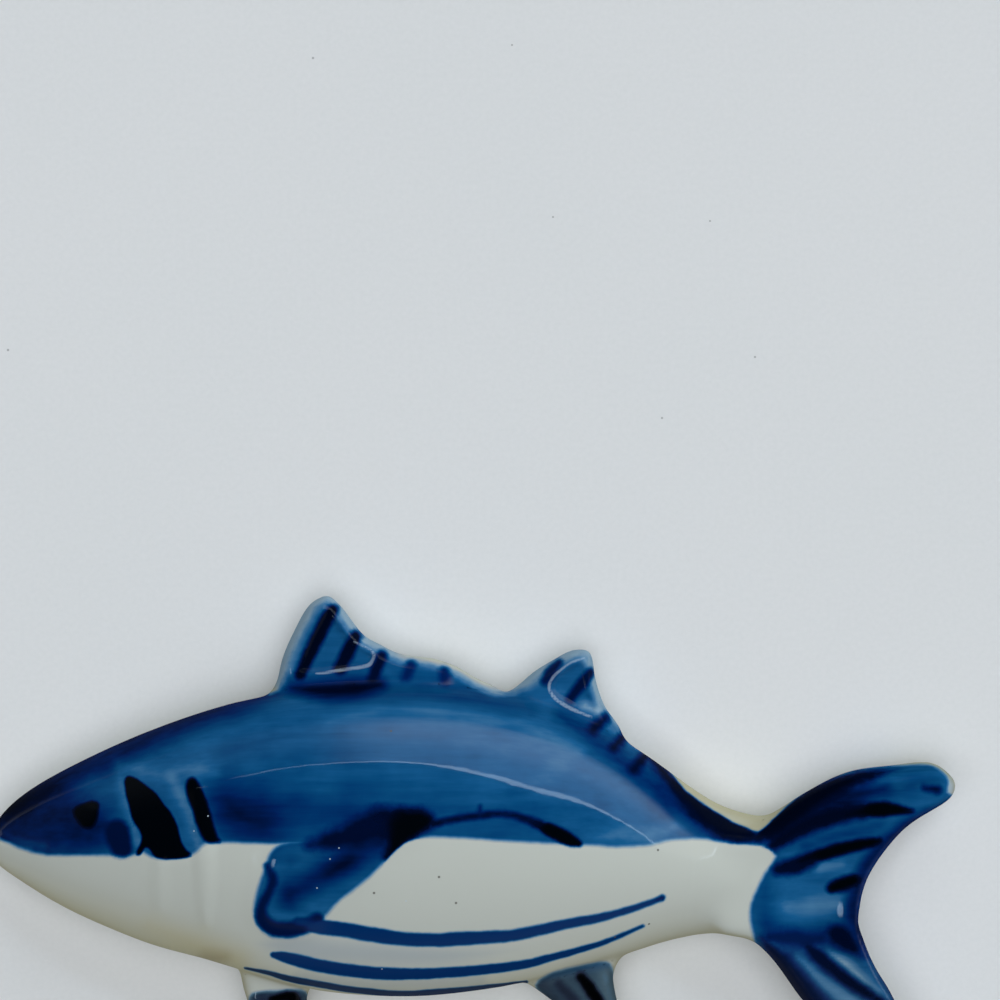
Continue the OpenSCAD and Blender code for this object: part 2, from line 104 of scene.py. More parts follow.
def draw_out(name, places):
    """Starts with a disc at the snout and extrudes it ring by ring to the far end."""
    bpy.ops.object.select_all(action="DESELECT")
    bpy.ops.mesh.primitive_circle_add(vertices=RING_SIDES, radius=MM, fill_type="NGON",
                                      location=(places[0] * MM, 0, 0), rotation=(0, math.pi / 2, 0))
    piece = bpy.context.active_object
    piece.name = name
    bpy.ops.object.mode_set(mode="EDIT")
    wide, tall, middle = 1.0, 1.0, Vector((places[0], 0, 0))
    for number, x in enumerate(places):
        belly, back = read_line(belly_line, x), read_line(back_line, x)
        under, top = read_line(under_line, x), read_line(height_line, x)
        now = Vector((x, (belly + back) / 2, (under + top) / 2))
        half_y, half_z = ROUND_LOSS * (back - belly) / 2, ROUND_LOSS * (top - under) / 2
        step = (now - middle) * MM
        if number:
            bpy.ops.mesh.extrude_region_move(TRANSFORM_OT_translate={"value": step})
        else:
            bpy.ops.transform.translate(value=step)
        bpy.ops.transform.resize(value=(1, half_y / wide, half_z / tall), center_override=now * MM)
        wide, tall, middle = half_y, half_z, now
    bpy.ops.mesh.select_all(action="SELECT")
    bpy.ops.mesh.normals_make_consistent(inside=False)
    bpy.ops.object.mode_set(mode="OBJECT")
    bpy.ops.object.transform_apply(location=True, rotation=True, scale=True)
    return piece


def apply_modifier(piece, kind, **settings):
    select_only(piece)
    modifier = piece.modifiers.new(kind.lower(), kind)
    for setting, value in settings.items():
        setattr(modifier, setting, value)
    bpy.ops.object.modifier_apply(modifier=modifier.name)


body = draw_out("body_clay", ring_places)
apply_modifier(body, "SUBSURF", levels=2, render_levels=2)
bpy.ops.object.mode_set(mode="EDIT")
bpy.ops.mesh.select_all(action="SELECT")
bpy.ops.mesh.bisect(plane_co=(0, 0, 0), plane_no=(0, 0, 1), use_fill=True, clear_inner=True,
                    threshold=1e-7)
bpy.ops.object.mode_set(mode="OBJECT")

bpy.ops.object.select_all(action="DESELECT")
bpy.ops.mesh.primitive_cylinder_add(vertices=96, radius=MM, depth=2 * FOOT_HOLLOW * MM,
                                    location=(HOLLOW_MIDDLE[0] * MM, HOLLOW_MIDDLE[1] * MM, 0))
hollow = bpy.context.active_object
bpy.ops.transform.resize(value=(HOLLOW_HALF_LENGTH, HOLLOW_HALF_WIDTH, 1),
                         center_override=hollow.location)
bpy.ops.object.transform_apply(location=True, rotation=True, scale=True)
apply_modifier(body, "BOOLEAN", object=hollow, operation="DIFFERENCE", solver="EXACT")
bpy.data.objects.remove(hollow)


# The fins: slabs of clay cut along their outlines, with rounded rims, luted to the body with slip.
# Their outlines are pixels of the picture, and each runs on into the body so that it is held there.
FIN_FLOOR = 0.8
FIN_TOP = 5.0
FIN_GIRTH = 2.7
rim_profile = [(0.15, 0.9), (0.3, 0.65), (0.35, 0.3)]
first_dorsal_outline = [
    (262, 720), (268, 697), (277, 681), (281, 663), (287, 646), (296, 627), (304, 612), (311, 603),
    (319, 598), (327, 595), (334, 599), (342, 607), (351, 619), (360, 631), (368, 638), (380, 644),
    (393, 651), (406, 655), (425, 657), (440, 660), (460, 668), (479, 679), (496, 686), (506, 700),
    (500, 730), (380, 745)]
second_dorsal_outline = [
    (500, 720), (507, 694), (519, 684), (527, 677), (539, 668), (556, 658), (569, 651), (582, 649),
    (590, 652), (593, 661), (595, 676), (599, 691), (605, 706), (614, 718), (622, 730), (620, 756),
    (560, 765)]
pelvic_outline = [(236, 940), (240, 970), (243, 985), (247, 998), (251, 1012), (258, 1026), (268, 1037),
                  (282, 1042), (294, 1037), (302, 1024), (306, 1010), (309, 990), (322, 960), (280, 935)]
anal_outline = [(505, 940), (515, 972), (529, 984), (552, 1000), (566, 1013), (582, 1025), (598, 1033),
                (610, 1031), (617, 1022), (619, 1010), (617, 1000), (613, 972), (622, 945), (570, 925)]


def pixels_per_mm(height):
    return PIXELS_PER_MM_ON_TABLE * EYE_HEIGHT / (EYE_HEIGHT - height)


def place_of_pixel(pixel, height):
    """The place, in metres, that a pixel of the picture shows at a height in millimetres."""
    scale = pixels_per_mm(height)
    return Vector(((EYE_X + (pixel[0] - PICTURE_MIDDLE) / scale) * MM,
                   (EYE_Y - (pixel[1] - PICTURE_MIDDLE) / scale) * MM, height * MM))


def flowing(points, steps=4, closed=False):
    """The same line with a soft curve through its points, as a loaded brush or a knife draws it."""
    rows = [np.array(p, float) for p in points]
    count = len(rows)
    ends = range(count if closed else count - 1)
    line = []
    for i in ends:
        if closed:
            a, b, c, d = (rows[(i + k) % count] for k in (-1, 0, 1, 2))
        else:
            a, b, c, d = (rows[min(max(i + k, 0), count - 1)] for k in (-1, 0, 1, 2))
        for step in range(steps):
            t = step / steps
            line.append(0.5 * (2 * b + (c - a) * t + (2 * a - 5 * b + 4 * c - d) * t ** 2
                               + (3 * b - a - 3 * c + d) * t ** 3))
    if not closed:
        line.append(rows[-1])
    return line


def cut_slab(name, outline, floor, girth, top, profile):
    """Traces the outline at its girth and draws it up to the top and down to the floor in steps
    that round both rims."""
    points = [place_of_pixel(p, girth) for p in flowing(outline, 3, closed=True)]
    rise = sum(step[1] for step in profile)
    bpy.ops.object.select_all(action="DESELECT")
    bpy.ops.mesh.primitive_plane_add(size=0.1 * MM, location=points[0])
    piece = bpy.context.active_object
    piece.name = name
    bpy.ops.object.mode_set(mode="EDIT")
    bpy.ops.mesh.select_mode(type="VERT")
    bpy.ops.mesh.merge(type="CENTER")
    for here, there in zip(points, points[1:]):
        bpy.ops.mesh.extrude_vertices_move(TRANSFORM_OT_translate={"value": there - here})
    bpy.ops.mesh.select_all(action="SELECT")
    bpy.ops.mesh.edge_face_add()
    bpy.ops.mesh.select_mode(type="FACE")
    bpy.ops.mesh.extrude_region_move(TRANSFORM_OT_translate={"value": (0, 0, 0.1 * MM)})
    for reach in ((top - girth) / rise, (floor - girth) / rise):
        bpy.ops.mesh.select_all(action="DESELECT")
        bpy.ops.object.mode_set(mode="OBJECT")
        heights = [face.center.z for face in piece.data.polygons]
        piece.data.polygons[int(np.argmax(heights) if reach > 0 else np.argmin(heights))].select = True
        bpy.ops.object.mode_set(mode="EDIT")
        for inward, upward in profile:
            bpy.ops.mesh.inset(thickness=inward * MM, depth=0)
            bpy.ops.transform.translate(value=(0, 0, upward * reach * MM))
    bpy.ops.mesh.select_all(action="SELECT")
    bpy.ops.mesh.normals_make_consistent(inside=False)
    bpy.ops.object.mode_set(mode="OBJECT")
    bpy.ops.object.transform_apply(location=True, rotation=True, scale=True)
    return piece


first_dorsal, second_dorsal, pelvic, anal = (
    cut_slab(name, outline, FIN_FLOOR, FIN_GIRTH, FIN_TOP, rim_profile)
    for name, outline in (("first_dorsal_clay", first_dorsal_outline),
                          ("second_dorsal_clay", second_dorsal_outline),
                          ("pelvic_clay", pelvic_outline), ("anal_clay", anal_outline)))


# The tail: a thicker forked slab that stands on the tail root, with its trailing rim left proud.
# It falls a little from the root to its two tips.
TAIL_TOP = 7.1
TAIL_FALL = math.radians(3.2)
TAIL_GIRTH = 3.6
TAIL_FALLS_ABOVE = 4.6
tail_profile = [(0.12, 1.2), (0.25, 0.9), (0.35, 0.4)]
tail_outline = [
    (708, 925), (696, 870), (708, 824), (735, 822), (753, 823), (766, 819), (781, 811), (797, 801),
    (814, 791), (839, 778), (864, 770), (900, 766), (928, 763), (942, 766), (952, 774), (956, 782),
    (954, 792), (945, 802), (928, 812), (914, 820), (900, 831), (886, 847), (875, 862), (867, 876),
    (862, 892), (859, 911), (859, 921), (864, 936), (871, 954), (880, 971), (889, 985), (897, 1000),
    (910, 1019), (920, 1036), (917, 1048), (905, 1055), (885, 1056), (860, 1047), (830, 1028), (804, 999),
    (791, 981), (778, 963), (765, 949), (753, 939), (740, 935)]
tail = cut_slab("tail_clay", tail_outline, FIN_FLOOR, TAIL_GIRTH, TAIL_TOP, tail_profile)
root_x = float(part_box("tail_fin")[0].x)
bpy.ops.object.mode_set(mode="EDIT")
bpy.ops.mesh.select_mode(type="VERT")
bpy.ops.object.mode_set(mode="OBJECT")
for vertex in tail.data.vertices:
    vertex.select = vertex.co.z > TAIL_FALLS_ABOVE * MM
bpy.ops.object.mode_set(mode="EDIT")
bpy.ops.transform.rotate(value=-TAIL_FALL, orient_axis="Y", center_override=(root_x, 0, TAIL_TOP * MM))
bpy.ops.object.mode_set(mode="OBJECT")


# The pectoral fin: a thin leaf of clay laid on the flank behind the gill cover and pressed down.
# It is the part of a slightly fatter body that lies inside the fin's outline.
PECTORAL_PROUD = 0.3
PECTORAL_SEAT = 7.0
KNIFE_LOW, KNIFE_MIDDLE, KNIFE_HIGH = 8.0, 12.6, 17.0
pectoral_outline = [
    (281, 844), (270, 854), (265, 868), (258, 887), (254, 903), (254, 916), (258, 925), (266, 931),
    (276, 936), (286, 938), (299, 936), (310, 930), (324, 918), (339, 901), (352, 891), (366, 880),
    (380, 866), (393, 852), (408, 840), (424, 832), (432, 823), (426, 815), (412, 812), (390, 813),
    (361, 820), (337, 831), (310, 840)]
pectoral = cut_slab("pectoral_clay", pectoral_outline, KNIFE_LOW, KNIFE_MIDDLE, KNIFE_HIGH, [(0.02, 1.0)])
select_only(body)
bpy.ops.object.duplicate()
fatter = bpy.context.active_object
bpy.ops.object.mode_set(mode="EDIT")
bpy.ops.mesh.select_all(action="SELECT")
bpy.ops.transform.shrink_fatten(value=PECTORAL_PROUD * MM)
bpy.ops.object.mode_set(mode="OBJECT")
apply_modifier(pectoral, "BOOLEAN", object=fatter, operation="INTERSECT", solver="EXACT")
bpy.data.objects.remove(fatter)


# The firing: slip fills the corners and the glaze rounds every edge, so the seven clay pieces are
# melted to one skin here, and cut apart again along their seams further down.
SKIN_GRAIN = 0.22
SLIP_PASSES = 8
SLIP_REACH = 1.8
FILLET_PASSES = 90
FOOT_KEPT_FLAT = 0.4
OUT_OF_REACH = 1.0
clay = {"body": body, "first_dorsal_fin": first_dorsal, "second_dorsal_fin": second_dorsal,
        "pectoral_fin": pectoral, "pelvic_fin": pelvic, "anal_fin": anal, "tail_fin": tail}
bpy.ops.object.select_all(action="DESELECT")
for piece in clay.values():
    piece.select_set(True)
bpy.context.view_layer.objects.active = body
bpy.ops.object.duplicate()
skin = bpy.context.active_object
bpy.ops.object.join()
skin.name = "fired_skin"
apply_modifier(skin, "REMESH", mode="VOXEL", voxel_size=SKIN_GRAIN * MM)
clay_trees = {name: BVHTree.FromObject(piece, bpy.context.evaluated_depsgraph_get())
              for name, piece in clay.items()}
names = list(clay)
owner = np.zeros(len(skin.data.polygons), int)
for polygon in skin.data.polygons:
    distances = [clay_trees[name].find_nearest(polygon.center)[3] for name in names[:-1]]
    distances[names.index("pectoral_fin")] = OUT_OF_REACH
    owner[polygon.index] = int(np.argmin(distances))
    if polygon.center.x > root_x:
        owner[polygon.index] = len(names) - 1
apply_modifier(skin, "SMOOTH", factor=0.5, iterations=SLIP_PASSES)
bpy.ops.object.shade_smooth()
fillet = skin.vertex_groups.new(name="slip_fillet")
for vertex in skin.data.vertices:
    to_body = clay_trees["body"].find_nearest(vertex.co)[3] / MM
    to_fin = min(clay_trees[name].find_nearest(vertex.co)[3] for name in clay if name != "body") / MM
    share = 1 - min(max(to_body, to_fin) / SLIP_REACH, 1)
    share *= min(max(vertex.co.z / MM - FOOT_KEPT_FLAT, 0), 1)
    if share > 0:
        fillet.add([vertex.index], share ** 0.5, "REPLACE")
apply_modifier(skin, "SMOOTH", factor=0.5, iterations=FILLET_PASSES, vertex_group="slip_fillet")


# Relief pressed into the clay: the gill cover's ridge, the cheek, the eye, the mouth, and the dished
# faces of the fins and tail. Each is a line or a loop in the picture with a height in millimetres.
def points_of(mesh, what="co"):
    values = np.zeros(len(mesh.vertices) * 3)
    if what == "co":
        mesh.vertices.foreach_get("co", values)
    else:
        mesh.vertex_normals.foreach_get("vector", values)
    return values.reshape(-1, 3)


def pixels_of(places):
    """Where the picture shows each place of the mesh."""
    x, y, z = places.T / MM
    scale = pixels_per_mm(z)
    return np.stack((PICTURE_MIDDLE + (x - EYE_X) * scale, PICTURE_MIDDLE - (y - EYE_Y) * scale), 1)


FAR_OUTSIDE = -1000.0


def line_depth(pixels, line):
    """How far inside a line of (x, y, width) a pixel lies, in pixels, and below 0 outside it."""
    deepest = np.full(len(pixels), FAR_OUTSIDE)
    for (ax, ay, aw), (bx, by, bw) in zip(line, line[1:]):
        along = np.array((bx - ax, by - ay))
        share = ((pixels - (ax, ay)) @ along) / max(along @ along, 1e-6)
        share = np.clip(share, 0, 1)
        away = np.hypot(pixels[:, 0] - ax - share * along[0], pixels[:, 1] - ay - share * along[1])
        deepest = np.maximum(deepest, (aw + (bw - aw) * share) / 2 - away)
    return deepest


def loop_depth(pixels, loop):
    """How far inside a closed loop a pixel lies, in pixels, and below 0 outside it."""
    closed = list(loop) + [loop[0]]
    edge = -line_depth(pixels, [(p[0], p[1], 0) for p in closed])
    inside = np.zeros(len(pixels), bool)
    for a, b in zip(closed, closed[1:]):
        crosses = (a[1] > pixels[:, 1]) != (b[1] > pixels[:, 1])
        run = (b[0] - a[0]) / ((b[1] - a[1]) or 1e-9)
        inside ^= crosses & (pixels[:, 0] < a[0] + run * (pixels[:, 1] - a[1]))
    return np.where(inside, edge, -edge)


def ease(values, low, high):
    share = np.clip((values - low) / (high - low), 0, 1)
    return share * share * (3 - 2 * share)


PIXEL = 1 / 13.2
ON_THE_OUTLINE = -0.5
gill_ridge = [(193, 782, 8), (200, 806, 10), (205, 830, 12), (204, 848, 13), (205, 872, 13), (205, 896, 10),
              (206, 922, 4)]
cheek_bump = [(159, 862, 8), (160, 885, 12), (161, 908, 8)]
eye_bump = [(86, 815, 20), (88, 816, 20)]
mouth_groove = [(-6, 836, 6), (18, 841, 6), (44, 846, 4)]
first_dish = [(299, 672), (303, 656), (311, 637), (319, 622), (327, 609), (333, 612), (341, 625), (352, 640),
              (367, 648), (375, 655), (373, 663), (360, 668), (330, 671)]
second_dish = [(581, 660), (567, 668), (557, 676), (551, 686), (554, 696), (565, 703), (580, 711), (596, 714),
               (598, 703), (591, 688), (588, 672)]
pectoral_dish = [(284, 858), (277, 876), (270, 894), (267, 908), (273, 917), (290, 919), (308, 914),
                 (322, 901), (338, 885), (355, 873), (372, 860), (386, 846), (370, 842), (330, 846)]
tail_dish = [
    (780, 880), (786, 846), (808, 815), (846, 790), (892, 778), (930, 773), (944, 784), (930, 799),
    (906, 812), (884, 830), (866, 849), (853, 870), (844, 892), (842, 914), (846, 932), (856, 954),
    (868, 977), (884, 1001), (900, 1026), (906, 1044), (884, 1046), (852, 1030), (822, 1002), (798, 972),
    (778, 940), (772, 905)]
tail_rim = [(942, 795, 6), (910, 817, 8), (888, 836, 9), (872, 855, 10), (861, 876, 10), (853, 896, 10),
            (851, 915, 10), (854, 936, 10), (864, 960, 10), (878, 985, 10), (894, 1012, 9), (908, 1038, 6)]


def raise_line(pixels, line, height, reach):
    return height * ease(line_depth(pixels, flowing(line)), -reach, reach * 0.6)


def sink_loop(pixels, loop, depth, slope):
    return -depth * ease(loop_depth(pixels, flowing(loop, 3, closed=True)), -slope * 0.3, slope)


places = points_of(skin.data)
normals = points_of(skin.data, "normal")
pixels = pixels_of(places)
upward = ease(normals[:, 2], 0.1, 0.5)
move = np.zeros(len(pixels))
for line, height, reach in ((gill_ridge, 0.17, 9), (cheek_bump, 0.10, 9), (eye_bump, 0.12, 6),
                            (mouth_groove, -0.18, 5), (tail_rim, 0.15, 11)):
    move += raise_line(pixels, line, height, reach)
for loop, depth, slope in ((first_dish, 0.36, 6), (second_dish, 0.34, 6), (pectoral_dish, 0.15, 10),
                           (tail_dish, 0.6, 30)):
    move += sink_loop(pixels, loop, depth, slope)
places += normals * (move * upward * MM)[:, None]
skin.data.vertices.foreach_set("co", places.ravel())
skin.data.update()
middles = np.zeros(len(owner) * 3)
skin.data.polygons.foreach_get("center", middles)
middles = middles.reshape(-1, 3)
on_pectoral = loop_depth(pixels_of(middles), flowing(pectoral_outline, 3, closed=True)) > ON_THE_OUTLINE
owner[(owner == 0) & on_pectoral & (middles[:, 2] > PECTORAL_SEAT * MM)] = names.index("pectoral_fin")


# The painting: underglaze cobalt laid on the biscuit with a soft brush before glazing. Washes are
# loops and strokes are lines of (x, y, width) in the picture, each with its load of cobalt from 0 to 1.
back_wash = [
    (-30, 838), (-30, 800), (0, 790), (16, 782), (43, 764), (75, 747), (102, 735), (135, 718), (177, 699),
    (207, 693), (226, 688), (250, 686), (270, 694), (284, 684), (289, 664), (295, 647), (303, 631),
    (311, 617), (319, 608), (327, 603), (333, 607), (338, 616), (345, 627), (354, 638), (362, 645),
    (375, 651), (390, 659), (406, 664), (425, 666), (440, 670), (460, 679), (479, 690), (496, 695),
    (509, 695), (520, 692), (530, 685), (541, 676), (557, 665), (569, 658), (580, 655), (587, 658),
    (589, 668), (591, 682), (595, 696), (601, 708), (609, 720), (618, 728), (640, 742), (660, 761),
    (672, 775), (685, 791), (707, 807), (720, 815), (733, 823), (748, 829), (759, 832), (773, 820),
    (789, 805), (814, 787), (839, 775), (872, 767), (900, 765), (926, 764), (938, 768), (947, 776),
    (949, 784), (948, 792), (958, 800), (936, 812), (920, 824), (910, 840), (900, 855), (890, 870),
    (882, 885), (876, 898), (874, 911), (874, 921), (878, 935), (885, 952), (894, 969), (903, 983),
    (912, 1000), (926, 1022), (936, 1040), (922, 1066), (885, 1072), (850, 1060), (816, 1040), (788, 1006),
    (778, 985), (766, 966), (757, 948), (753, 934), (750, 919), (751, 904), (757, 889), (765, 873),
    (776, 856), (760, 845), (731, 843), (706, 839), (682, 839), (666, 841), (649, 845), (616, 847),
    (592, 845), (542, 843), (493, 840), (443, 837), (416, 838), (390, 846), (350, 846), (300, 844),
    (281, 844), (250, 843), (207, 843), (199, 850), (188, 856), (166, 859), (151, 857), (143, 852),
    (135, 855), (96, 855), (48, 855), (19, 848), (0, 839)]
pelvic_wash = [(250, 997), (262, 992), (290, 990), (305, 992), (312, 1010), (308, 1030), (296, 1046),
               (280, 1050), (262, 1042), (250, 1020)]
anal_wash = [(536, 985), (548, 975), (566, 969), (590, 964), (606, 962), (612, 968), (616, 985), (622, 1000),
             (626, 1016), (618, 1034), (598, 1040), (578, 1030), (560, 1014), (544, 997)]
near_black, deep_navy, navy, mid_blue = 1.0, 0.86, 0.77, 0.69
# Each is its load, how softly it fades, and its shape. The softest ones stay inside the wash.
BLURRED = 3.0
strokes = [
    (near_black, 1.0, [(127, 777), (135, 778), (145, 785), (156, 794), (163, 804), (170, 812), (177, 826),
                       (181, 841), (186, 850), (191, 856), (172, 859), (156, 857), (150, 849), (145, 847),
                       (140, 855), (136, 853), (142, 841), (140, 831), (134, 821), (131, 812), (127, 796),
                       (125, 783)]),
    (near_black, 1.4, [(188, 780), (193, 778), (198, 783), (204, 796), (209, 809), (213, 825), (217, 837),
                       (220, 842), (207, 842), (201, 834), (196, 821), (193, 809), (188, 796), (186, 786)]),
    (near_black, 1.4, [(74, 813), (77, 807), (84, 804), (92, 801), (99, 804), (98, 812), (96, 820), (91, 827),
                       (83, 827), (78, 821)]),
    (0.84, 2.2, [(105, 828), (110, 822), (120, 821), (128, 827), (131, 841), (132, 850), (128, 856),
                 (116, 856), (110, 847), (106, 837)]),
    (0.95, 2.2, [(301, 674, 10), (307, 660, 11), (316, 641, 12), (325, 622, 12), (333, 610, 9)]),
    (0.92, 2.4, [(340, 668, 12), (346, 655, 12), (356, 636, 10)]),
    (deep_navy, 2.2, [(372, 680, 9), (378, 666, 10), (382, 655, 9)]),
    (navy, 2.6, [(406, 677, 9), (411, 665, 8)]),
    (navy, 2.6, [(445, 680, 9), (444, 671, 8)]),
    (0.82, 2.2, [(559, 663, 6), (551, 672, 9), (545, 681, 8)]),
    (0.84, 2.0, [(590, 673, 8), (580, 686, 10), (571, 698, 9)]),
    (deep_navy, 3.0, [(605, 718, 7), (593, 730, 10)]),
    (deep_navy, 3.0, [(624, 736, 7), (614, 747, 9)]),
    (deep_navy, 3.0, [(647, 753, 9), (634, 770, 10)]),
    (0.94, 4.5, [(650, 757, 3), (668, 776, 8), (690, 800, 14), (712, 819, 20), (734, 831, 18),
                       (752, 836, 10)]),
    (0.95, 4.5, [(757, 838, 10), (776, 825, 22), (796, 809, 22), (820, 794, 18), (846, 782, 13),
                 (870, 775, 6), (896, 770, -8), (912, 768, -18)]),
    (deep_navy, 4.5, [(306, 846), (318, 838), (337, 828), (355, 819), (372, 811), (390, 808), (400, 820),
                      (392, 836), (370, 843), (340, 848), (318, 849)]),
    (near_black, 4.0, [(380, 814), (395, 809), (412, 810), (426, 813), (434, 821), (428, 829), (414, 838),
                       (402, 848), (391, 861), (385, 858), (389, 846), (385, 836), (378, 826)]),
    (deep_navy, 1.8, [(433, 824, 7), (456, 819, 6), (478, 816, 6), (500, 814, 6), (520, 817, 7),
                      (540, 825, 9)]),
    (near_black, 1.6, [(538, 825, 7), (552, 831, 12), (568, 839, 12), (579, 844, 5)]),
    (navy, 1.6, [(480, 806, 3), (480, 815, 4)]),
    (0.82, 2.0, [(267, 866, 4), (273, 879, 8), (269, 892, 8), (262, 906, 9), (263, 920, 12), (276, 929, 14),
                      (300, 928, 14), (318, 919, 10)]),
    (mid_blue, 1.2, [(298, 922, 9), (316, 926, 14), (345, 930, 14), (374, 935, 14), (405, 939, 13),
                     (440, 940, 13), (456, 939, 13), (491, 937, 12), (516, 935, 11), (545, 929, 10),
                     (572, 923, 9), (599, 918, 8), (625, 911, 6), (649, 903, 5), (662, 898, 5)]),
    (deep_navy, 1.2, [(657, 900, 4), (662, 898, 6)]),
    (mid_blue, 1.2, [(273, 955, 5), (284, 957, 10), (300, 961, 12), (320, 966, 12), (346, 970, 12),
                     (374, 973, 12), (402, 974, 11), (440, 973, 10), (491, 969, 9), (527, 964, 8),
                     (549, 958, 7), (572, 952, 6), (599, 944, 5), (615, 938, 4), (643, 926, 3)]),
    (mid_blue, 1.2, [(245, 968, 2), (269, 973, 4), (290, 979, 6), (318, 984, 6), (346, 989, 6), (374, 992, 6),
                     (402, 994, 6), (440, 992, 6), (491, 987, 5), (527, 982, 3)]),
    (0.93, 3.2, [(772, 846, 8), (800, 828, 14), (836, 816, 14), (862, 811, 14)]),
    (near_black, 1.8, [(846, 815, 5), (864, 811, 12), (880, 809, 14), (896, 810, 10), (912, 811, 4)]),
    (0.9, 3.2, [(779, 870, 10), (794, 866, 14), (812, 860, 12)]),
    (near_black, 2.0, [(800, 862, 8), (820, 855, 11), (848, 847, 11), (868, 843, 9), (879, 841, 5)]),
    (near_black, 2.2, [(832, 888, 9), (843, 884, 13), (854, 880, 10)]),
    (deep_navy, 2.4, [(925, 788, 4), (937, 790, 7)]),
    (0.89, 3.6, [(829, 931), (838, 927), (847, 929), (854, 938), (860, 950), (862, 957), (852, 952),
                       (840, 947), (830, 940)]),
    (0.80, 4.0, [(770, 937, 10), (788, 938, 16), (808, 940, 14), (822, 938, 8)]),
    (deep_navy, 2.6, [(807, 946, 8), (819, 957, 14), (833, 969, 13), (848, 981, 12), (865, 992, 10),
                      (884, 1004, 9), (908, 1024, 7)]),
    (0.83, 4.0, [(762, 938, 2), (772, 950, 12), (784, 965, 18), (798, 983, 21), (813, 1001, 21),
                 (836, 1028, 20), (870, 1050, 8)]),
    (near_black, 2.0, [(581, 977, 8), (590, 989, 11), (600, 1004, 10), (606, 1018, 5)]),
    (navy, 2.4, [(559, 984, 7), (567, 993, 9), (576, 1003, 8)]),
    (near_black, 1.8, [(272, 999, 6), (292, 997, 11), (297, 1012, 10), (294, 1028, 5)]),
]
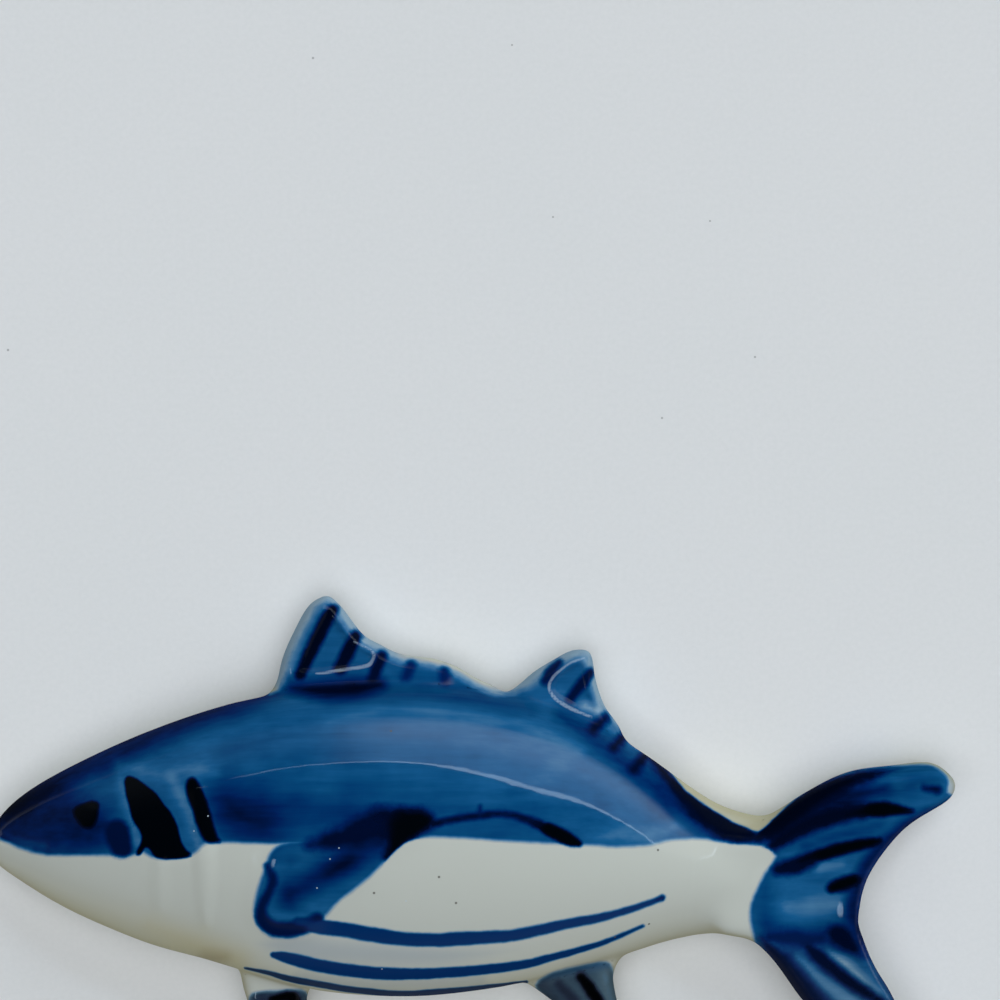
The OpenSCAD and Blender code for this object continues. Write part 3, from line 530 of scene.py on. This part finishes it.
# Soft loads add cobalt or take it away along soft lines. Some negative ones are painted reflections and
# highlights: pale patches where the glaze mirrors the window on the back, the waterline and the tail, and on
# the lips.
cobalt_and_painted_reflection_loads = [
    (0.28, 24, [(-20, 832, 50), (30, 828, 56), (66, 823, 60), (88, 828, 50)]),
    (0.27, 13, [(-20, 820, 16), (0, 808, 20), (43, 786, 26), (75, 769, 30), (102, 757, 34), (135, 740, 34),
                (177, 720, 30), (207, 713, 24), (250, 702, 16), (275, 691, 8)]),
    (0.20, 34, [(228, 800, 24), (240, 815, 34), (262, 825, 26)]),
    (0.16, 40, [(230, 812, 30), (300, 812, 40), (350, 812, 20)]),
    (0.06, 30, [(350, 805, 30), (450, 815, 34), (540, 825, 20)]),
    (0.05, 10, [(300, 800, 16), (440, 834, 10), (500, 838, 10)]),
    # The next two are painted reflections: pale patches where the waterline and the back mirror the window.
    (-0.13, 12, [(590, 836, 6), (624, 836, 14), (656, 834, 14), (676, 826, 8)]),
    (-0.06, 30, [(370, 740, 30), (460, 735, 30), (560, 765, 26), (630, 800, 26)]),
    (-0.14, 9, [(118, 762, 6), (122, 790, 5), (132, 822, 5), (140, 845, 4)]),
    (-0.12, 9, [(128, 766, 8), (160, 775, 8), (188, 768, 8), (215, 772, 6)]),
    (-0.14, 7, [(172, 780, 8), (186, 806, 10), (194, 830, 10), (198, 846, 6)]),
    # A painted highlight: the lips made pale where they catch the light.
    (-0.24, 5, [(-10, 840, 3), (10, 846, 3), (30, 850, 3)]),
    (0.40, 11, [(292, 688, 6), (320, 690, 16), (356, 688, 16), (380, 684, 8)]),
    (0.09, 12, [(330, 704, 6), (385, 696, 12), (430, 696, 14), (490, 704, 10), (530, 708, 8)]),
    (0.22, 14, [(560, 716, 4), (596, 742, 14), (640, 776, 18), (690, 813, 22), (740, 838, 16)]),
    (-0.22, 8, [(290, 668, 5), (296, 645, 6), (308, 618, 5)]),
    (-0.28, 8, [(528, 686, 4), (545, 674, 5), (565, 660, 6), (582, 656, 6), (592, 678, 5), (600, 708, 5)]),
    (-0.12, 8, [(604, 722, 4), (626, 738, 4), (644, 752, 4)]),
    (-0.09, 10, [(560, 690, 6), (580, 702, 6)]),
    (0.07, 10, [(400, 676, 8), (440, 680, 8), (480, 692, 6)]),
    (-0.30, 6, [(586, 706, 8), (598, 712, 5)]),
    (0.10, 12, [(330, 872, 10), (352, 860, 10)]),
    (0.22, 12, [(290, 896, 20), (330, 870, 26), (365, 848, 26), (395, 838, 20)]),
    (0.05, 10, [(292, 862, 10), (286, 884, 12), (288, 905, 12), (304, 910, 6)]),
    # The next two are a painted reflection: a pale patch in the middle of the tail.
    (-0.12, 14, [(790, 908, 16), (820, 905, 22), (838, 902, 12)]),
    (-0.06, 8, [(812, 905, 14), (838, 903, 10)]),
    (0.12, 16, [(770, 862, 10), (764, 900, 14), (766, 925, 12)]),
    (0.14, 9, [(806, 846, 8), (840, 836, 10), (880, 826, 8)]),
    (0.07, 12, [(890, 796, 12), (930, 778, 14)]),
    # A painted reflection: a pale grey-blue patch on the upper tail.
    (-0.14, 6, [(820, 868, 8), (842, 863, 6)]),
    (0.14, 14, [(770, 925, 12), (800, 932, 16), (835, 930, 12)]),
    (0.15, 16, [(792, 955, 12), (830, 1000, 16), (870, 1040, 14)]),
    # The next two are painted reflections: pale streaks on the lower lobe of the tail.
    (-0.26, 6, [(797, 957, 4), (808, 968, 8), (820, 980, 10), (832, 990, 13), (846, 1000, 14),
                (866, 1014, 14)]),
    (-0.30, 6, [(828, 953, 3), (840, 960, 10), (854, 971, 11), (869, 986, 10), (884, 1000, 8)]),
    (0.30, 8, [(948, 806, 4), (914, 820, 8), (888, 841, 12), (868, 864, 14), (857, 890, 15), (853, 915, 15),
               (866, 946, 6), (882, 972, 5), (900, 1006, 5)]),
    (0.30, 12, [(885, 788, 6), (860, 795, 18), (830, 804, 28), (800, 820, 28), (774, 840, 14)]),
    (0.16, 10, [(836, 938, 16), (850, 945, 14)]),
    # A painted reflection: the pale band of sheen below the back.
    (-0.10, 11, [(330, 722, 6), (360, 714, 12), (400, 711, 12), (450, 713, 12), (500, 721, 10), (540, 733, 8),
                 (580, 752, 6)]),
    # A painted highlight on the lips.
    (-0.10, 4, [(4, 833, 2), (14, 838, 3), (28, 842, 4), (44, 846, 3)]),
    (0.24, 14, [(262, 996, 10), (268, 1020, 16)]),
    (0.16, 12, [(542, 984, 10), (556, 996, 12), (580, 1020, 12)]),
    (-0.22, 14, [(604, 975, 10), (612, 1000, 14), (610, 1020, 10)]),
]
# Where the glaze has carried a breath of cobalt out over the white rims; the last two tint the belly between
# the stripes a darker bluish grey.
breaths = [
    (0.19, 12, [(282, 676, 22), (290, 650, 24), (305, 622, 24), (328, 604, 20), (346, 622, 18),
                (366, 642, 14), (392, 656, 10)]),
    (0.20, 12, [(512, 690, 12), (545, 668, 20), (580, 654, 20), (594, 680, 18), (601, 708, 16),
                (624, 732, 8)]),
    (0.12, 6, [(930, 768, 8), (946, 776, 10), (950, 788, 8)]),
    (0.07, 16, [(256, 944, -20), (290, 946, 12), (340, 952, 10), (440, 956, 4), (520, 950, -24)]),
    (0.05, 10, [(300, 978, 6), (380, 984, 6), (480, 980, 6)]),
]
# Where the wash fades slowly to the rim.
faint_rims = [
    (286, 676, 26), (296, 646, 30), (314, 616, 30), (334, 608, 26), (352, 630, 22), (372, 648, 20),
    (410, 662, 18), (450, 672, 16), (490, 690, 14), (530, 682, 20), (556, 668, 26), (582, 660, 28),
    (594, 684, 26), (606, 718, 20), (630, 742, 16), (652, 758, 12)]
# Where the glaze ran thin over a crease and shows no shine.
dull_creases = [
    [(278, 688, 8), (310, 689, 9), (360, 686, 9), (410, 682, 9), (442, 677, 10), (452, 672, 8),
     (458, 682, 9)],
    [(442, 677, 8), (420, 668, 7), (396, 660, 7), (380, 655, 4)],
    [(524, 692, 9), (548, 700, 9), (570, 710, 9), (596, 720, 9), (608, 728, 9)],
    [(299, 668, 7), (307, 672, 7)],
    [(636, 772, 18), (664, 796, 20), (690, 820, 22), (712, 836, 16), (745, 842, 14), (772, 832, 16),
     (796, 814, 18), (830, 796, 20), (870, 780, 18), (910, 772, 16), (944, 778, 14)],
    [(768, 880, 30), (776, 905, 30), (786, 930, 30), (810, 960, 26)],
    [(262, 856, 14), (262, 880, 16), (256, 915, 14), (270, 933, 14), (300, 936, 12)],
    [(150, 846, 26), (178, 850, 30), (206, 846, 20), (222, 838, 12)],
    [(316, 906, 16), (332, 890, 20), (350, 872, 16)],
    [(184, 787, 8), (196, 783, 10), (210, 779, 8)],
    [(580, 664, 8), (586, 680, 8), (592, 696, 8)],
    [(864, 900, 5), (869, 926, 5), (880, 950, 5), (896, 982, 5), (912, 1010, 5)],
]
# Painted highlights: pale lines along the sharp rim of each dorsal fin's recess, where the glaze catches the
# light.
painted_highlight_rims = [
    [(316, 673.5, 1.0), (326, 672.5, 2.0), (341, 670, 2.4), (366, 666, 2.4), (372, 661, 2.4), (374, 655, 2.2),
     (371, 650, 1.6), (363, 646, 1.4), (354, 642, 1.0)],
    [(585, 658, 0.8), (572, 662, 1.2), (563, 668, 1.4), (554, 676, 1.6), (549, 685, 2.0), (551, 693, 2.4),
     (557, 700, 2.4), (568, 707, 2.6), (579, 712, 2.6), (592, 717, 1.6)],
]
# Where the glaze lies thick and warm, and painted shade darkens the white along the chin and breast.
warm_and_shaded_lines = [
    (0.30, 24, [(-10, 868, 10), (60, 900, 24), (120, 922, 30), (190, 944, 34), (240, 958, 24)]),
    (0.35, 14, [(150, 925, 10), (200, 946, 24), (236, 958, 20)]),
]
# Where the cobalt fired dull and grey, on the low fins and the lowest stripe.
grey_lines = [
    (0.9, 12, [(262, 1010, 50), (300, 1010, 50)]),
    (1.0, 12, [(550, 1008, 70), (612, 1000, 76)]),
    (0.8, 5, [(245, 968, 8), (290, 979, 8), (346, 989, 8), (402, 994, 8), (440, 992, 8), (527, 982, 8)]),
    (0.4, 40, [(790, 985, 60), (880, 1030, 90)]),
]
stain = [(204, 956, 8), (214, 958, 12), (225, 957, 8)]

WASH_LOAD = 0.53
BRUSH_SPREAD = 0.3
BREATH_FADE = 0.3
LOWEST_WASH = 1.6
FAINT_PULLS, FAINT_PUSHES = 0.6, 1.2
FARTHEST_STROKE = 12
RUN_TOGETHER = 1.2
SIDE_SHADE_AND_CREAM = 1.15
CREASE_DULLNESS = 0.97
MOST_PAINT = 8
DULL_BELOW, SHINES_ABOVE = 0.66, 0.76
COAT_ON_EDGES = 0.05


def soft_shares(lines, inner=1.0):
    """For each (share, reach, line), its share on the line, which fades away over its reach."""
    return [share * ease(line_depth(pixels, flowing(line)), -reach, reach * inner)
            for share, reach, line in lines]


places = points_of(skin.data)
normals = points_of(skin.data, "normal")
pixels = pixels_of(places)
wash_edge = loop_depth(pixels, flowing(back_wash, 2, closed=True))
for loop in (pelvic_wash, anal_wash, pectoral_outline):
    wash_edge = np.maximum(wash_edge, loop_depth(pixels, flowing(loop, 3, closed=True)))
faint = ease(line_depth(pixels, flowing(faint_rims)), -8, 6)
wash_edge = wash_edge * (1 - FAINT_PULLS * faint) + FAINT_PUSHES * faint
# No cobalt reaches the underside or the last of the wall above the table.
under_edge = (ease(normals[:, 2], -0.75, 0.15) - 0.5) * 40 + (places[:, 2] / MM - LOWEST_WASH) * 6
wash_edge = np.minimum(wash_edge, under_edge)
wash_load = sum(soft_shares(cobalt_and_painted_reflection_loads), np.full(len(pixels), WASH_LOAD))
stroke_edge = np.full(len(pixels), FAR_OUTSIDE)
load_sum = np.zeros(len(pixels))
weight_sum = np.zeros(len(pixels))
for load, softness, shape in strokes:
    if len(shape[0]) == 2:
        depth = loop_depth(pixels, flowing(shape, 3, closed=True)) / softness
    else:
        depth = line_depth(pixels, flowing(shape)) / softness
    if softness >= BLURRED:
        depth = np.minimum(depth, wash_edge)
    # The stripes are drawn from above and end where the belly turns steep.
    if load == mid_blue:
        depth = np.minimum(depth / np.clip(normals[:, 2], 0.15, 1), (normals[:, 2] - 0.2) * 30)
    # Where strokes cross, the cobalt of one runs into the other.
    weight = np.exp(np.clip(depth, -FARTHEST_STROKE, FARTHEST_STROKE) * RUN_TOGETHER)
    load_sum += weight * load
    weight_sum += weight
    stroke_edge = np.maximum(stroke_edge, depth)
stroke_edge = np.minimum(stroke_edge, under_edge)
thin_edge = np.max([line_depth(pixels, flowing(line)) for line in painted_highlight_rims], axis=0)
stain_edge = line_depth(pixels, flowing(stain))
breath = np.max(soft_shares(breaths, BREATH_FADE), axis=0) * ease(under_edge, -2, 2)
greyed = np.max(soft_shares(grey_lines), axis=0)
# Painted shade in part: the white grows darker and creamier as the surface turns steep.
on_sides = 1 - ease(normals[:, 2], 0.0, 0.97)
cream_and_side_shade = sum(soft_shares(warm_and_shaded_lines), SIDE_SHADE_AND_CREAM * on_sides * (1 - faint))
steeper = 0.08 * ease(-normals[:, 1], 0.2, 0.5)
glaze_coat = COAT_ON_EDGES + (1 - COAT_ON_EDGES) * ease(normals[:, 2] - steeper, DULL_BELOW, SHINES_ABOVE)
for line in dull_creases:
    glaze_coat *= 1 - CREASE_DULLNESS * ease(line_depth(pixels, flowing(line)), -5, 3)
paint = {"cream_and_side_shade": cream_and_side_shade, "greyed": greyed, "glaze_coat": glaze_coat, "breath": breath,
         "wash_edge": wash_edge * PIXEL, "wash_load": wash_load,
         "stroke_edge": (stroke_edge + BRUSH_SPREAD) * PIXEL, "stroke_load": load_sum / weight_sum,
         "thin_edge": (thin_edge + BRUSH_SPREAD) * PIXEL, "stain_edge": stain_edge * PIXEL}
for name, values in paint.items():
    attribute = skin.data.attributes.new(name, "FLOAT", "POINT")
    attribute.data.foreach_set("value", np.clip(values, -MOST_PAINT, MOST_PAINT))


# Pinholes, where gas broke through the glaze, and painted glints: bright specks painted where the glaze
# catches small points of light. Each is a pixel of the picture, and its place is where the eye's ray meets
# the fired skin.
skin_tree = BVHTree.FromObject(skin, bpy.context.evaluated_depsgraph_get())
EYE = Vector((EYE_X * MM, EYE_Y * MM, EYE_HEIGHT * MM))
pinholes = [(658, 850), (374, 893), (439, 877), (456, 903), (391, 731), (615, 937), (649, 924)]
painted_glints = [(339, 848), (330, 859), (317, 888), (208, 816), (194, 831), (382, 969), (406, 901)]
PINHOLE_SIZE = 0.10
GLINT_SIZE = 0.06


def on_the_glaze(pixel):
    """The place on the glaze that a pixel of the picture shows."""
    return tuple(skin_tree.ray_cast(EYE, (place_of_pixel(pixel, 0) - EYE).normalized())[0])


# The glaze: clear feldspathic glaze over white porcelain and underglaze cobalt. It is glossy and a
# little wavy, cobalt shows from pale blue to near black by its load, and the ground foot is bare clay.
def linear(hex_colour):
    channels = [int(hex_colour[i:i + 2], 16) / 255 for i in (0, 2, 4)]
    return [c / 12.92 if c <= 0.04045 else ((c + 0.055) / 1.055) ** 2.4 for c in channels] + [1.0]


def add_node(tree, kind, settings, inputs):
    node = tree.nodes.new(kind)
    for setting, value in settings.items():
        setattr(node, setting, value)
    for socket, value in inputs.items():
        if isinstance(value, bpy.types.NodeSocket):
            tree.links.new(value, node.inputs[socket])
        else:
            node.inputs[socket].default_value = value
    return node


def combine(tree, operation, first, second, clamp=False):
    return add_node(tree, "ShaderNodeMath", {"operation": operation, "use_clamp": clamp},
                    {0: first, 1: second}).outputs[0]


def remap(tree, value, start, end, low, high, kind="LINEAR"):
    return add_node(tree, "ShaderNodeMapRange", {"interpolation_type": kind},
                    {"Value": value, "From Min": start, "From Max": end, "To Min": low,
                     "To Max": high}).outputs[0]


def mix(tree, factor, first, second, blend="MIX"):
    return add_node(tree, "ShaderNodeMix", {"data_type": "RGBA", "blend_type": blend},
                    {"Factor": factor, "A": first, "B": second}).outputs["Result"]


def noise(tree, place, scale, detail, roughness=0.5):
    return add_node(tree, "ShaderNodeTexNoise", {}, {"Vector": place, "Scale": scale, "Detail": detail,
                                                     "Roughness": roughness}).outputs["Fac"]


def speck(tree, place, spot, size, strength, colour, speck_colour):
    """A colour with one round speck on it, its size in millimetres."""
    away = add_node(tree, "ShaderNodeVectorMath", {"operation": "DISTANCE"},
                    {0: place, 1: spot}).outputs["Value"]
    dot = remap(tree, away, 1.3 * size * MM, 0.5 * size * MM, 0.0, strength, "SMOOTHSTEP")
    return mix(tree, dot, colour, linear(speck_colour))


cobalt_colours = [(0.0, "bfc5bf"), (0.10, "a3aeb5"), (0.20, "88a5b9"), (0.33, "4d7fa6"), (0.48, "195c8f"),
                  (0.56, "094a7b"), (0.65, "01366c"), (0.74, "01215b"), (0.86, "010c2c"), (1.0, "010409")]
edge_softness = {"wash_edge": 0.25, "stroke_edge": 0.14, "thin_edge": 0.06, "stain_edge": 0.7}


def glazed_porcelain(name):
    material = bpy.data.materials.new(name)
    material.use_nodes = True
    tree = material.node_tree
    tree.nodes.clear()
    place = add_node(tree, "ShaderNodeTexCoord", {}, {}).outputs["Object"]
    read = {attribute: add_node(tree, "ShaderNodeAttribute", {"attribute_name": attribute},
                                {}).outputs["Fac"] for attribute in paint}
    # The brush leaves streaks along the fish about 0.7 mm wide and 10 mm long, and soft pools.
    along = add_node(tree, "ShaderNodeMapping", {}, {"Vector": place, "Scale": (100, 1500, 1500)})
    streaks = remap(tree, noise(tree, along.outputs[0], 1.0, 4.0, 0.6), 0.3, 0.7, -0.03, 0.03)
    pools = remap(tree, noise(tree, place, 230.0, 3.0, 0.55), 0.3, 0.7, -0.04, 0.04)
    # The cobalt's edges wander by less than 0.1 mm where the glaze has drawn them.
    wander = remap(tree, noise(tree, place, 900.0, 3.0, 0.6), 0.25, 0.75, -0.04, 0.04)
    masks = {edge: remap(tree, combine(tree, "ADD", read[edge], wander), -soft, soft, 0.0, 1.0,
                         "SMOOTHSTEP") for edge, soft in edge_softness.items()}
    wash = combine(tree, "ADD", read["wash_load"], combine(tree, "ADD", streaks, pools))
    washed = combine(tree, "MULTIPLY", wash, masks["wash_edge"])
    carried = combine(tree, "MAXIMUM", washed, read["breath"])
    load = add_node(tree, "ShaderNodeMix", {"data_type": "FLOAT"},
                    {"Factor": masks["stroke_edge"], "A": carried,
                     "B": read["stroke_load"]}).outputs["Result"]
    ramp = add_node(tree, "ShaderNodeValToRGB", {}, {"Fac": load})
    while len(ramp.color_ramp.elements) < len(cobalt_colours):
        ramp.color_ramp.elements.new(0.5)
    for element, (position, hex_colour) in zip(ramp.color_ramp.elements, cobalt_colours):
        element.position = position
        element.color = linear(hex_colour)
    # Painted highlights: pale lines along the recess rims of the dorsal fins.
    painted_highlight_share = combine(tree, "MULTIPLY", masks["thin_edge"], 0.36)
    colour = mix(tree, painted_highlight_share, ramp.outputs["Color"], linear("bccfe2"))
    # Iron in the clay left one brown stain on the breast.
    stained = combine(tree, "MULTIPLY", masks["stain_edge"], 0.4)
    colour = mix(tree, stained, colour, linear("b39a72"), "MULTIPLY")
    # Dark pinholes, and painted glints in pale blue-white.
    for spots, size, speck_colour in ((pinholes, PINHOLE_SIZE, "4a4a44"), (painted_glints, GLINT_SIZE, "b9cbd8")):
        for spot in spots:
            colour = speck(tree, place, on_the_glaze(spot), size, 0.85, colour, speck_colour)
    # The white is tinted warmer and darker down the steep sides, partly as a cream glaze and partly as
    # painted shade; it shows on the white alone.
    unpainted = remap(tree, load, 0.1, 0.4, 1.0, 0.1)
    warm_tint_and_shade = combine(tree, "MULTIPLY", read["cream_and_side_shade"], unpainted, clamp=True)
    colour = mix(tree, warm_tint_and_shade, colour, linear("f6ebcd"), "MULTIPLY")
    # The cobalt of the low fins and the lowest stripe fired greyer and a little darker.
    painted = remap(tree, load, 0.15, 0.4, 0.0, 1.0)
    dulled = combine(tree, "MULTIPLY", read["greyed"], painted)
    colour = add_node(tree, "ShaderNodeHueSaturation", {},
                      {"Hue": 0.475, "Saturation": 0.65, "Value": 0.48, "Fac": dulled,
                       "Color": colour}).outputs["Color"]
    # The foot is ground flat after the firing, so below 0.25 mm the clay is bare, matt and warm.
    height = add_node(tree, "ShaderNodeSeparateXYZ", {}, {"Vector": place}).outputs["Z"]
    bare = remap(tree, height, 0.34 * MM, 0.2 * MM, 0.0, 1.0)
    colour = mix(tree, bare, colour, linear("d6cbb8"))
    roughness = remap(tree, bare, 0.0, 1.0, 0.22, 0.75)
    # The glaze runs off the steep edges, so its coat is thin there.
    gloss = combine(tree, "MULTIPLY", remap(tree, bare, 0.0, 1.0, 0.65, 0.0), read["glaze_coat"])
    # Glaze settles in soft waves 3 to 6 mm long.
    wavy = add_node(tree, "ShaderNodeBump", {}, {"Height": noise(tree, place, 260.0, 2.0),
                                                 "Strength": 0.2, "Distance": 0.06 * MM}).outputs[0]
    shader = add_node(tree, "ShaderNodeBsdfPrincipled", {},
                      {"Base Color": colour, "Roughness": roughness, "IOR": 1.5,
                       "Specular IOR Level": 0.0, "Coat Weight": gloss, "Coat Roughness": 0.04,
                       "Coat IOR": 1.52, "Normal": wavy, "Coat Normal": wavy})
    add_node(tree, "ShaderNodeOutputMaterial", {}, {"Surface": shader.outputs[0]})
    return material


porcelain_glaze = glazed_porcelain("glazed_white_porcelain")
cobalt_glaze = glazed_porcelain("cobalt_washed_porcelain")


# The seven pieces: the fired skin is cut along the seams where they were luted, and each cut is closed.
# Every face goes to the clay piece that it lies on, and the tail begins where the tail root ends.
# The pectoral fin is pressed a little into the flank, so its seat lies deeper than its rim.
SEAT_DEPTHS = {"body": 0.35, "pectoral_fin": 0.25}
for number, name in enumerate(names):
    select_only(skin)
    bpy.ops.object.duplicate()
    piece = bpy.context.active_object
    bpy.ops.object.mode_set(mode="EDIT")
    bpy.ops.mesh.select_mode(type="FACE")
    bpy.ops.mesh.select_all(action="DESELECT")
    bpy.ops.object.mode_set(mode="OBJECT")
    piece.data.polygons.foreach_set("select", owner != number)
    bpy.ops.object.mode_set(mode="EDIT")
    bpy.ops.mesh.delete(type="FACE")
    bpy.ops.mesh.select_mode(type="EDGE")
    if name in SEAT_DEPTHS:
        bpy.ops.mesh.select_all(action="DESELECT")
        bpy.ops.mesh.select_non_manifold()
        bpy.ops.object.mode_set(mode="OBJECT")
        for edge in piece.data.edges:
            if piece.data.vertices[edge.vertices[0]].co.z < PECTORAL_SEAT * MM:
                edge.select = False
        bpy.ops.object.mode_set(mode="EDIT")
        bpy.ops.mesh.extrude_edges_move(TRANSFORM_OT_translate={"value": (0, 0, -SEAT_DEPTHS[name] * MM)})
    bpy.ops.mesh.select_all(action="SELECT")
    bpy.ops.mesh.fill_holes(sides=0)
    bpy.ops.object.mode_set(mode="OBJECT")
    bpy.ops.object.shade_smooth_by_angle(angle=math.radians(60))
    apply_modifier(piece, "DATA_TRANSFER", object=skin, use_loop_data=True,
                   data_types_loops={"CUSTOM_NORMAL"}, loop_mapping="POLYINTERP_NEAREST")
    piece.name = "porcelain_" + name
    piece.data.materials.clear()
    piece.data.materials.append(porcelain_glaze if name == "body" else cobalt_glaze)
    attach(piece, "root")
    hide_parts(name)

for piece in list(clay.values()) + [skin]:
    bpy.data.objects.remove(piece)


# The table: a pale matt board with a faint grain and a few specks of dust. A large soft lamp hangs
# over it, and the glaze mirrors the room: a tall window behind the back, a small lamp and dim walls.
bpy.ops.object.select_all(action="DESELECT")
bpy.ops.mesh.primitive_plane_add(size=3.0, location=(0, 0, 0))
table = bpy.context.active_object
table.name = "pale_table"
table_paint = bpy.data.materials.new("matt_pale_board")
table_paint.use_nodes = True
tree = table_paint.node_tree
tree.nodes.clear()
place = add_node(tree, "ShaderNodeTexCoord", {}, {}).outputs["Object"]
colour = mix(tree, noise(tree, place, 2600.0, 3.0), linear("e2e5e7"), linear("eaecee"))
colour = mix(tree, noise(tree, place, 30.0, 2.0), colour, linear("fafcfc"), "MULTIPLY")
for pixel, size in (((313, 58), 0.10), ((512, 45), 0.08), ((710, 221), 0.08), ((662, 418), 0.09),
                    ((553, 217), 0.08), ((8, 350), 0.10), ((755, 357), 0.09)):
    colour = speck(tree, place, tuple(place_of_pixel(pixel, 0)), size, 0.6, colour, "6d7074")
board = add_node(tree, "ShaderNodeBsdfPrincipled", {}, {"Base Color": colour, "Roughness": 0.85})
add_node(tree, "ShaderNodeOutputMaterial", {}, {"Surface": board.outputs[0]})
table.data.materials.append(table_paint)

overhead_data = bpy.data.lights.new("overhead_softbox", "AREA")
overhead_data.size = 0.85
overhead_data.energy = 6.1
overhead = bpy.data.objects.new("overhead_softbox", overhead_data)
bpy.context.scene.collection.objects.link(overhead)
overhead.location = (0.03, -0.03, 0.89)
overhead.rotation_euler = (-overhead.location).to_track_quat("-Z", "Y").to_euler()
overhead.visible_glossy = False

LAMP_DIRECTION = (-0.47, -0.14, 0.872)
PALE_LIGHT = (0.95, 0.98, 1.0, 1.0)
BLUE_LIGHT = (0.70, 0.86, 1.0, 1.0)
room = bpy.data.worlds.new("soft_room")
bpy.context.scene.world = room
room.use_nodes = True
tree = room.node_tree
direction = add_node(tree, "ShaderNodeTexCoord", {}, {}).outputs["Generated"]
axes = add_node(tree, "ShaderNodeSeparateXYZ", {}, {"Vector": direction}).outputs


def fade(value, start, end, dark, bright):
    return remap(tree, value, start, end, dark, bright, "SMOOTHSTEP")


def times(first, second):
    return combine(tree, "MULTIPLY", first, second)


# The window's head is arched, with bright sky in the gap under its blind, and the small lamp stands
# high on the side of the snout.
window_head = combine(tree, "SUBTRACT", fade(axes["X"], -0.05, 0.33, 0.685, 0.775),
                      fade(axes["X"], 0.36, 0.80, 0.0, 0.148))
below_head = combine(tree, "SUBTRACT", window_head, axes["Z"])
sky = times(fade(below_head, 0.0, 0.008, 0.0, 1.25), fade(below_head, 0.66, 0.74, 1.0, 0.0))
sky = times(sky, fade(below_head, 0.12, 0.4, 0.7, 1.3))
sky = times(sky, fade(axes["X"], -0.2, 0.02, 0.0, 1.0))
gap_height = times(fade(axes["X"], -0.10, 0.30, 0.008, 0.034), fade(axes["X"], 0.50, 0.74, 1.0, 0.4))
gap_depth = combine(tree, "DIVIDE", below_head, gap_height)
gap = times(fade(gap_depth, -0.1, 0.2, 0.0, 1.0), fade(gap_depth, 0.7, 1.2, 1.0, 0.0))
gap = times(gap, fade(axes["X"], -0.4, 0.1, 3.5, 5.5))
gap = times(gap, fade(axes["X"], -0.42, -0.31, 0.0, 1.0))
window = times(combine(tree, "ADD", sky, gap), fade(axes["Y"], 0.0, 0.2, 0.0, 1.0))
walls = times(fade(axes["Z"], 0.3, 0.7, 0.16, 0.006), fade(axes["Y"], -0.5, 0.1, 1.1, 1.0))
walls = times(walls, fade(axes["X"], -0.9, -0.3, 0.35, 1.0))
nearness = add_node(tree, "ShaderNodeVectorMath", {"operation": "DOT_PRODUCT"},
                    {0: direction, 1: LAMP_DIRECTION}).outputs["Value"]
lamp = fade(nearness, 0.9965, 0.999, 0.0, 6.0)
bright = combine(tree, "ADD", window, lamp)
blueness = combine(tree, "MAXIMUM", fade(gap, 0.0, 1.5, 0.0, 1.0), fade(lamp, 0.0, 1.5, 0.0, 1.0))
background = tree.nodes["Background"]
tree.links.new(mix(tree, blueness, PALE_LIGHT, BLUE_LIGHT), background.inputs["Color"])
tree.links.new(combine(tree, "ADD", bright, walls), background.inputs["Strength"])
bpy.context.scene.view_settings.view_transform = "Standard"
